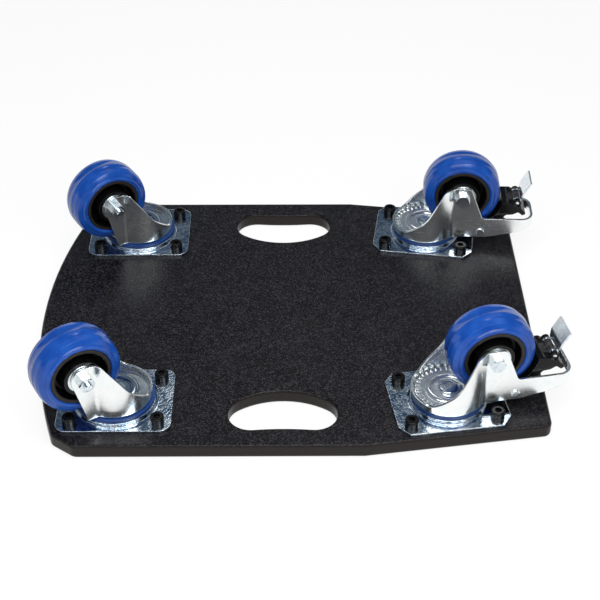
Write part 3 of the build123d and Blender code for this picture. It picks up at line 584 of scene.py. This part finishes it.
@dataclass(frozen=True)
class MouldedPlastic(Finish):
    """Moulded plastic with a fine grain and lighter edges: slightly polished, and on the lever a painted
    highlight.
    """

    name: str = "moulded_plastic"
    deep: Colour = (0.004, 0.004, 0.005)
    pale: Colour = (0.014, 0.014, 0.016)
    # Edge colour: slight polish, and on the lever a painted highlight along its edges.
    rubbed: Colour = (0.050, 0.050, 0.053)
    grain: float = 1300.0
    fine: float = 0.3
    tone_span: Span = (0.0, 1.2)
    rough: Span = (0.28, 0.44)
    bump_strength: float = 0.3
    bump_depth: float = 0.00006
    edge_radius: float = 0.0005
    edge_breakup: float = 0.6
    edge_share: float = 0.5
    gloss: float = 0.5

    def paint(self, graph: Graph, place: Socket, shader: Sockets) -> None:
        """Wires grain, tone and the lighter edge colour, which is slight polish on the seal and a painted
        highlight on the lever.

        Args:
            graph: The material's graph.
            place: Object coordinates, in metres.
            shader: Inputs of the material's Principled BSDF, by name.
        """
        pebble = Pebble().placed(graph, place, Scale=self.grain, Fine=self.fine)
        edge = RoundedEdge().placed(graph, place, Radius=self.edge_radius, Breakup=self.edge_breakup)
        tone = graph.mix(pebble["Tone"], self.deep, self.pale)
        # Share of the edge colour along the edges: a painted highlight where that colour is light, as on the
        # lever.
        rubbed = graph.math("MULTIPLY", edge["Mask"], self.edge_share)
        graph.link(graph.mix(rubbed, tone, self.rubbed), shader["Base Color"])
        graph.link(graph.ramp(pebble["Tone"], self.tone_span, self.rough), shader["Roughness"])
        bump = graph.bump(pebble["Height"], self.bump_strength, self.bump_depth, edge["Normal"])
        graph.link(bump, shader["Normal"])
        shader["Specular IOR Level"].default_value = self.gloss


@dataclass(frozen=True)
class RimPlastic(Finish):
    """Black rim plastic whose outer flange is scuffed to a brown grey."""

    name: str = "rim_moulding"
    deep: Colour = (0.0015, 0.0015, 0.0015)
    pale: Colour = (0.006, 0.006, 0.006)
    scuffed: Colour = (0.027, 0.021, 0.015)
    flange_span: Span = (0.0254, 0.0262)
    scuff: float = 240.0
    scuff_detail: float = 5.0
    scuff_rough: float = 0.65
    scuff_span: Span = (0.25, 0.6)
    scuff_share: Span = (0.45, 1.0)
    rough: Span = (0.3, 0.5)
    grain: float = 1100.0
    fine: float = 0.3
    bump_strength: float = 0.25
    bump_depth: float = 0.00006
    gloss: float = 0.25

    def paint(self, graph: Graph, place: Socket, shader: Sockets) -> None:
        """Wires the scuffed flange by its distance from the axle.

        Args:
            graph: The material's graph.
            place: Coordinates about the axle, in metres.
            shader: Inputs of the material's Principled BSDF, by name.
        """
        pebble = Pebble().placed(graph, place, Scale=self.grain, Fine=self.fine)
        scuff = graph.noise(place, self.scuff, self.scuff_detail, self.scuff_rough)
        flange = graph.ramp(graph.reach(place), self.flange_span)
        mask = graph.math("MULTIPLY", flange, graph.ramp(scuff, self.scuff_span, self.scuff_share))
        tone = graph.mix(pebble["Tone"], self.deep, self.pale)
        graph.link(graph.mix(mask, tone, self.scuffed), shader["Base Color"])
        graph.link(graph.ramp(mask, RISING, self.rough), shader["Roughness"])
        graph.link(graph.bump(pebble["Height"], self.bump_strength, self.bump_depth), shader["Normal"])
        shader["Specular IOR Level"].default_value = self.gloss


@dataclass(frozen=True)
class BlackOxide(Finish):
    """Black oxide on steel: dark, oily, with steel showing on the edges."""

    name: str = "black_oxide"
    deep: Colour = (0.0015, 0.0015, 0.0015)
    pale: Colour = (0.006, 0.0055, 0.0055)
    steel: Colour = (0.12, 0.12, 0.122)
    cloud: float = 260.0
    marks: float = 0.3
    mottle_span: Span = (0.1, 0.9)
    rough: Span = (0.16, 0.30)
    edge_radius: float = 0.0003
    edge_breakup: float = 0.6
    edge_share: float = 0.4
    gloss: float = 0.25

    def paint(self, graph: Graph, place: Socket, shader: Sockets) -> None:
        """Wires clouded tone and steel edges.

        Args:
            graph: The material's graph.
            place: Object coordinates, in metres.
            shader: Inputs of the material's Principled BSDF, by name.
        """
        mottle = Mottle().placed(graph, place, Scale=self.cloud, Marks=self.marks)
        edge = RoundedEdge().placed(graph, place, Radius=self.edge_radius, Breakup=self.edge_breakup)
        tone = graph.mix(mottle["Tone"], self.deep, self.pale)
        rubbed = graph.math("MULTIPLY", edge["Mask"], self.edge_share)
        graph.link(graph.mix(rubbed, tone, self.steel), shader["Base Color"])
        graph.link(graph.ramp(mottle["Rough"], self.mottle_span, self.rough), shader["Roughness"])
        graph.link(edge["Normal"], shader["Normal"])
        shader["Specular IOR Level"].default_value = self.gloss


class Coat(Enum):
    """Finishes of the object's pieces."""

    BOARD = PebbledPaint()
    SCREW = BlackOxide()
    RIM = RimPlastic()
    TYRE = BlueRubber()
    SEAL = MouldedPlastic(name="seal_moulding", deep=(0.008, 0.035, 0.15), pale=(0.014, 0.060, 0.24),
                          rubbed=(0.07, 0.15, 0.36))
    # The lever's light edge colour is a painted highlight along its edges.
    LEVER = MouldedPlastic(name="lever_moulding", deep=(0.002, 0.002, 0.002), pale=(0.007, 0.007, 0.007),
                           rubbed=(0.22, 0.22, 0.225), rough=(0.2, 0.34), gloss=0.2)
    # The plate's deep blue-teal clouds are partly the plating's blue tint and partly painted dark
    # reflection; its strong pale edges are a painted highlight.
    PLATE = BrightZinc(name="plate_zinc", pale=(0.88, 0.92, 0.95), deep=(0.26, 0.38, 0.52), cloud=80.0,
                       spangle=0.6, rough=(0.10, 0.22), wave=0.45, edge_radius=0.0010, edge_share=0.9)
    FORK = BrightZinc(name="fork_zinc", pale=(0.97, 0.98, 0.965), deep=(0.88, 0.93, 0.93), cloud=35.0,
                      rough=(0.12, 0.22), satin_rough=0.06, wave=0.12, edge_radius=0.0009, edge_share=0.9,
                      metal=0.97)
    CAP = BrightZinc(name="cap_zinc", pale=(0.95, 0.97, 0.98), deep=(0.76, 0.85, 0.89), cloud=120.0,
                     rough=(0.07, 0.15), wave=0.12, edge_radius=0.0011, edge_share=0.8)
    TOOTH = BrightZinc(name="tooth_zinc", pale=(0.96, 0.97, 0.98), deep=(0.80, 0.86, 0.89), cloud=120.0,
                       rough=(0.10, 0.18), wave=0.12, edge_radius=0.0007, edge_share=0.9, metal=0.88)
    FITTING = BrightZinc(name="fitting_zinc", cloud=120.0, wave=0.12)
    CORE = BlackOxide(name="core_steel", deep=(0.012, 0.012, 0.013), pale=(0.05, 0.05, 0.052))


class FinishShelf:
    """Makes each finish's material once and hands it out."""

    def __init__(self) -> None:
        """Starts empty."""
        self.made: dict[str, bpy.types.Material] = {}

    def take(self, coat: Coat, suffix: str = "", centre: Optional[Matrix] = None) -> bpy.types.Material:
        """Hands out a finish's material.

        Args:
            coat: Which finish.
            suffix: Marks a material of one piece's own.
            centre: That piece's axes.

        Returns:
            The material.
        """
        key = coat.value.name + suffix
        if key not in self.made:
            self.made[key] = coat.value.material(suffix, centre)
        return self.made[key]


def dress(piece: bpy.types.Object, material: bpy.types.Material) -> None:
    """Gives a piece one material in place of any it has.

    Args:
        piece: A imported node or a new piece.
        material: Its finish.
    """
    piece.data.materials.clear()
    piece.data.materials.append(material)
    LOG.info("%s wears %s", piece.name, material.name)


class Workbench:
    """Modelling moves that the sub-assemblies share, made with operators."""

    ROUND_STEPS = 4
    MERGE_DISTANCE = MM / 1000

    @staticmethod
    def clear() -> None:
        """Deselects everything."""
        bpy.ops.object.select_all(action="DESELECT")

    @classmethod
    def rounded(cls, corners: Sequence[Corner]) -> list[Vector]:
        """Rounds an outline's corners.

        Args:
            corners: Radius, height and rounding of each corner, in millimetres.

        Returns:
            The outline's points, in metres, in the XZ plane.
        """
        points: list[Vector] = []
        for index, (radius, height, rounding) in enumerate(corners):
            here = Vector((radius, 0.0, height))
            if rounding == 0.0:
                points.append(here * MM)
                continue
            before, after = corners[index - 1], corners[(index + 1) % len(corners)]
            back = (Vector((before[0], 0.0, before[1])) - here).normalized()
            ahead = (Vector((after[0], 0.0, after[1])) - here).normalized()
            half = back.angle(ahead) / 2
            middle = here + (back + ahead).normalized() * rounding / math.sin(half)
            start = (here + back * rounding / math.tan(half) - middle).normalized()
            end = (here + ahead * rounding / math.tan(half) - middle).normalized()
            for step in range(cls.ROUND_STEPS + 1):
                points.append((middle + start.slerp(end, step / cls.ROUND_STEPS) * rounding) * MM)
        return points

    @classmethod
    def turned(cls, name: str, corners: Sequence[Corner], steps: int) -> bpy.types.Object:
        """Turns a closed outline about Z.

        Args:
            name: The piece's name.
            corners: Radius, height and rounding of each corner, in millimetres.
            steps: Faces round the turn.

        Returns:
            The turned piece.
        """
        points = cls.rounded(corners)
        cls.clear()
        bpy.ops.mesh.primitive_plane_add(size=MM, location=(0.0, 0.0, 0.0))
        piece = bpy.context.object
        piece.name = name
        bpy.ops.object.mode_set(mode="EDIT")
        bpy.ops.mesh.select_all(action="SELECT")
        bpy.ops.mesh.merge(type="CENTER")
        bpy.ops.transform.translate(value=points[0])
        for here, there in zip(points, points[1:] + points[:1]):
            bpy.ops.mesh.extrude_region_move(TRANSFORM_OT_translate={"value": there - here})
        bpy.ops.mesh.select_all(action="SELECT")
        bpy.ops.mesh.remove_doubles(threshold=cls.MERGE_DISTANCE)
        bpy.ops.mesh.spin(steps=steps, angle=math.tau, center=(0.0, 0.0, 0.0), axis=(0.0, 0.0, 1.0))
        bpy.ops.mesh.select_all(action="SELECT")
        bpy.ops.mesh.remove_doubles(threshold=cls.MERGE_DISTANCE)
        bpy.ops.mesh.normals_make_consistent(inside=False)
        bpy.ops.object.mode_set(mode="OBJECT")
        return piece

    @classmethod
    def smooth(cls, piece: bpy.types.Object, angle: float) -> None:
        """Shades a piece smooth across edges below an angle.

        Args:
            piece: The piece.
            angle: The angle, in degrees.
        """
        cls.clear()
        piece.select_set(True)
        bpy.context.view_layer.objects.active = piece
        bpy.ops.object.shade_smooth_by_angle(angle=math.radians(angle))

    @staticmethod
    def copied(piece: bpy.types.Object, name: str, place: Matrix) -> bpy.types.Object:
        """Copies a modelled piece with its own mesh and puts its place in that mesh.

        Args:
            piece: The modelled piece.
            name: The copy's name.
            place: Where the copy goes.

        Returns:
            The copy.
        """
        copy = bpy.data.objects.new(name, piece.data.copy())
        copy.data.name = name
        copy.data.transform(place)
        bpy.context.scene.collection.objects.link(copy)
        return copy


@dataclass(frozen=True)
class Frame:
    """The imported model: its nodes, and the axes that its joints give."""

    nodes: dict[str, bpy.types.Object]
    joints: Sequence[dict[str, Any]]

    def wheel_axes(self, caster: str) -> Matrix:
        """Axes of a wheel: Z along its axle, Y up, at the axle's middle.

        Args:
            caster: The caster's name.

        Returns:
            The matrix of those axes.
        """
        joint = next(joint for joint in self.joints if joint["child"] == f"wheel_{caster}")
        axle = Vector(joint["axis"]).normalized()
        up = Vector((0.0, 0.0, 1.0))
        turn = Matrix((up.cross(axle), up, axle)).transposed().to_4x4()
        return Matrix.Translation(Vector(joint["pos_m"])) @ turn

    def casters(self) -> list[str]:
        """Names of the casters, in the joints' order."""
        wheels = [joint["child"] for joint in self.joints if joint["child"].startswith("wheel_")]
        return [wheel.removeprefix("wheel_") for wheel in wheels]


class SubAssembly(ABC):
    """A group of pieces that is modelled and dressed together."""

    @abstractmethod
    def build(self, frame: Frame, shelf: FinishShelf) -> None:
        """Models the group's finer pieces and dresses all of them.

        Args:
            frame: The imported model.
            shelf: The finishes.
        """

    @staticmethod
    def dress_each(frame: Frame, shelf: FinishShelf, coats: dict[str, Coat]) -> None:
        """Dresses one node per caster that has it.

        Args:
            frame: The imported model.
            shelf: The finishes.
            coats: Finishes by the node's name without its caster.
        """
        for part, coat in coats.items():
            for caster in frame.casters():
                node = frame.nodes.get(f"{part}_{caster}")
                if node is not None:
                    dress(node, shelf.take(coat))


@dataclass
class Deck(SubAssembly):
    """The board and what all four casters share a node for: screws, their insert nuts and the kingpins."""

    def build(self, frame: Frame, shelf: FinishShelf) -> None:
        """Dresses the board, screws, nuts and kingpins.

        Args:
            frame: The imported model.
            shelf: The finishes.
        """
        dress(frame.nodes["board"], shelf.take(Coat.BOARD))
        dress(frame.nodes["insert_nuts"], shelf.take(Coat.FITTING))
        dress(frame.nodes["plate_screws"], shelf.take(Coat.SCREW))
        dress(frame.nodes["kingpins"], shelf.take(Coat.FITTING))


@dataclass
class Wheels(SubAssembly):
    """Tyres modelled finely about the axle, and the rims and bearings inside them. Sizes in millimetres.

    A corner of the tyre is its depth below the tread, its distance from the middle and its rounding.
    """

    radius: float = 40.0
    seam_top: Corner = (0.0, 0.15, 0.0)
    seam_foot: Corner = (0.15, 0.35, 0.0)
    tread_edge: Corner = (0.05, 8.5, 0.3)
    shoulder: Corner = (1.5, 13.6, 0.5)
    groove_lip: Corner = (5.7, 16.2, 0.3)
    groove_floor: Corner = (6.1, 15.9, 0.2)
    bead_rise: Corner = (7.4, 17.5, 0.6)
    bead_crown: Corner = (9.2, 18.0, 0.8)
    bead_fall: Corner = (10.8, 17.4, 0.5)
    bead_foot: Corner = (11.4, 16.4, 0.2)
    seat_step: Corner = (11.4, 15.1, 0.0)
    seat: Corner = (12.4, 15.1, 0.0)
    faces_round: int = 160
    smooth_angle: float = 40.0

    def half_outline(self) -> list[Corner]:
        """Outlines one half of the tyre, from the tread's middle to the seat.

        Returns:
            Radius, height and rounding of each corner.
        """
        corners = (self.seam_top, self.seam_foot, self.tread_edge, self.shoulder, self.groove_lip,
                   self.groove_floor, self.bead_rise, self.bead_crown, self.bead_fall, self.bead_foot,
                   self.seat_step, self.seat)
        return [(self.radius - depth, height, rounding) for depth, height, rounding in corners]

    def tyre(self) -> bpy.types.Object:
        """Turns the tyre about Z.

        Returns:
            The tyre, at the origin.
        """
        half = self.half_outline()
        other = [(radius, -height, rounding) for radius, height, rounding in reversed(half)]
        piece = Workbench.turned("tyre_pattern", half + other, self.faces_round)
        Workbench.smooth(piece, self.smooth_angle)
        return piece

    def build(self, frame: Frame, shelf: FinishShelf) -> None:
        """Models one tyre, copies it to each wheel and dresses the wheels.

        Args:
            frame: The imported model.
            shelf: The finishes.
        """
        pattern = self.tyre()
        for caster in frame.casters():
            axes = frame.wheel_axes(caster)
            tyre = Workbench.copied(pattern, f"ringed_tyre_{caster}", axes)
            dress(tyre, shelf.take(Coat.TYRE, f"_{caster}", axes))
            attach(tyre, f"wheel_{caster}")
            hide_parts(f"tyre_{caster}")
            dress(frame.nodes[f"wheel_rim_{caster}"], shelf.take(Coat.RIM, f"_{caster}", axes))
        bpy.data.objects.remove(pattern)
        self.dress_each(frame, shelf, {
            "wheel_bearings": Coat.FITTING,
            "axle_sleeve": Coat.FITTING,
            "axle_bolt": Coat.FITTING,
            "axle_nut": Coat.FITTING,
        })


@dataclass
class Swivels(SubAssembly):
    """Mounting plates, dust seals, bearing balls, forks, and the caps and tooth rings on their heads."""

    def build(self, frame: Frame, shelf: FinishShelf) -> None:
        """Dresses the plates, heads and forks.

        Args:
            frame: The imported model.
            shelf: The finishes.
        """
        self.dress_each(frame, shelf, {
            "mount_plate": Coat.PLATE,
            "dust_seal": Coat.SEAL,
            "swivel_balls": Coat.CAP,
            "fork": Coat.FORK,
            "swivel_cap": Coat.CAP,
            "tooth_ring": Coat.TOOTH,
        })


@dataclass
class FootBrakes(SubAssembly):
    """Brake levers with their cores, pins and pedals."""

    def build(self, frame: Frame, shelf: FinishShelf) -> None:
        """Dresses the brakes.

        Args:
            frame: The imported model.
            shelf: The finishes.
        """
        self.dress_each(frame, shelf, {
            "brake_lever": Coat.LEVER,
            "brake_core": Coat.CORE,
            "brake_pedal": Coat.FITTING,
            "pivot_pin": Coat.FITTING,
            "pedal_pin": Coat.FITTING,
        })


@dataclass(frozen=True)
class Softbox:
    """A rectangular lamp that faces the object; place and sizes in metres, power in watts."""

    name: str
    place: Point
    width: float
    height: float
    power: float
    mirrored: bool = True

    def hang(self) -> None:
        """Hangs the lamp, out of the camera's sight."""
        light = bpy.data.lights.new(self.name, "AREA")
        light.shape = "RECTANGLE"
        light.size = self.width
        light.size_y = self.height
        light.energy = self.power
        lamp = bpy.data.objects.new(self.name, light)
        lamp.location = self.place
        lamp.rotation_euler = (-Vector(self.place)).to_track_quat("-Z", "Y").to_euler()
        lamp.visible_glossy = self.mirrored
        lamp.visible_camera = False
        bpy.context.scene.collection.objects.link(lamp)


@dataclass
class Stage:
    """Pale floor, white surroundings, a dark ceiling for reflections, soft lights and the camera.

    Lengths are in metres, the lens and sensor in millimetres and the camera's turn in degrees.
    """

    floor_size: float = 30.0
    floor_drop: float = 0.0005
    floor_tone: Colour = (0.97, 0.97, 0.97)
    floor_rough: float = 0.9
    floor_glow: float = 0.88
    ceiling_size: float = 30.0
    ceiling_height: float = 2.3
    ceiling_tone: Colour = (0.068, 0.096, 0.130)
    ambient: float = 0.22
    ambient_tone: Colour = (0.96, 0.98, 1.0)
    lens: float = 82.19
    sensor: float = 36.0
    camera_place: Point = (0.00443, -1.0785, 0.86874)
    camera_turn: Point = (52.0953, -0.1086, -0.4105)
    lamps: Sequence[Softbox] = (
        Softbox("key_softbox", (-0.75, -1.1, 1.35), 1.0, 0.45, 5.0),
        Softbox("fill_softbox", (0.7, -1.1, 1.2), 0.9, 0.45, 5.5),
        Softbox("overhead_softbox", (0.3, 0.75, 2.25), 1.9, 1.9, 6.0),
        Softbox("front_softbox", (0.1, -0.55, 0.70), 0.6, 0.4, 2.6),
        Softbox("top_softbox", (0.0, -0.30, 1.2), 0.7, 0.6, 8.0, mirrored=False),
        Softbox("sheen_softbox", (-0.08, 1.70, 2.15), 0.4, 0.5, 1.8),
    )

    def build(self) -> None:
        """Makes floor, ceiling, world, lamps and camera."""
        self.floor()
        self.ceiling()
        self.world()
        for lamp in self.lamps:
            lamp.hang()
        self.camera()

    @staticmethod
    def seen(graph: Graph) -> Socket:
        """Tells rays of the camera, of reflections and through glass from those that light.

        Args:
            graph: Graph of a stage material or of the world.

        Returns:
            The socket that is 1 for those rays.
        """
        path = graph.add("ShaderNodeLightPath").outputs
        mirrored = graph.math("MAXIMUM", path["Is Glossy Ray"], path["Is Transmission Ray"])
        return graph.math("MAXIMUM", path["Is Camera Ray"], mirrored)

    @staticmethod
    def plane(name: str, size: float, height: float, cloth: str) -> tuple[bpy.types.Object, Graph]:
        """Adds a level plane with a material of its own.

        Args:
            name: The plane's name.
            size: Its width and length.
            height: Where it lies.
            cloth: Its material's name.

        Returns:
            The plane and its material's graph.
        """
        Workbench.clear()
        bpy.ops.mesh.primitive_plane_add(size=size, location=(0.0, 0.0, height))
        plane = bpy.context.object
        plane.name = name
        material = bpy.data.materials.new(cloth)
        material.use_nodes = True
        plane.data.materials.append(material)
        return plane, Graph(material.node_tree)

    def floor(self) -> None:
        """Lays the pale floor just under the object."""
        floor, graph = self.plane("floor", self.floor_size, -self.floor_drop, "pale_floor")
        shader = graph.tree.nodes["Principled BSDF"]
        shader.inputs["Base Color"].default_value = (*self.floor_tone, 1.0)
        shader.inputs["Roughness"].default_value = self.floor_rough
        glow = graph.add("ShaderNodeEmission", {"Color": (*WHITE, 1.0), "Strength": 1.0})
        share = graph.math("MULTIPLY", self.seen(graph), self.floor_glow)
        blend = graph.add("ShaderNodeMixShader", {0: share, 1: shader.outputs[0], 2: glow.outputs[0]})
        graph.link(blend.outputs[0], graph.tree.nodes["Material Output"].inputs["Surface"])

    def ceiling(self) -> None:
        """Hangs a dark panel that only reflections show, as a studio's black cloth does."""
        panel, graph = self.plane("dark_ceiling", self.ceiling_size, self.ceiling_height, "dark_cloth")
        glow = graph.add("ShaderNodeEmission", {"Color": (*self.ceiling_tone, 1.0), "Strength": 1.0})
        graph.link(glow.outputs[0], graph.tree.nodes["Material Output"].inputs["Surface"])
        panel.visible_camera = False
        panel.visible_diffuse = False
        panel.visible_shadow = False

    def world(self) -> None:
        """Sets white surroundings that light the object softly."""
        world = bpy.data.worlds.new("studio")
        bpy.context.scene.world = world
        world.use_nodes = True
        graph = Graph(world.node_tree)
        shaded = world.node_tree.nodes["Background"]
        shaded.inputs["Color"].default_value = (*self.ambient_tone, 1.0)
        shaded.inputs["Strength"].default_value = self.ambient
        white = graph.add("ShaderNodeBackground", {"Color": (*WHITE, 1.0), "Strength": 1.0})
        blend = graph.add("ShaderNodeMixShader",
                          {0: self.seen(graph), 1: shaded.outputs[0], 2: white.outputs[0]})
        graph.link(blend.outputs[0], world.node_tree.nodes["World Output"].inputs["Surface"])

    def camera(self) -> None:
        """Sets the camera at the photograph's place and angle."""
        data = bpy.data.cameras.new("photo_camera")
        data.lens = self.lens
        data.sensor_width = self.sensor
        camera = bpy.data.objects.new("photo_camera", data)
        camera.location = self.camera_place
        camera.rotation_euler = [math.radians(angle) for angle in self.camera_turn]
        bpy.context.scene.collection.objects.link(camera)
        bpy.context.scene.camera = camera
        bpy.context.scene.view_settings.view_transform = "Standard"


def main() -> None:
    """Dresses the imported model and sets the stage."""
    logging.basicConfig(level=logging.INFO, format="%(name)s: %(message)s")
    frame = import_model()
    packed = Frame(frame["nodes"], frame["joints"])
    shelf = FinishShelf()
    for group in (Deck(), Wheels(), Swivels(), FootBrakes()):
        LOG.info("building %s", type(group).__name__)
        group.build(packed, shelf)
    Stage().build()


if __name__ == "__main__":
    main()
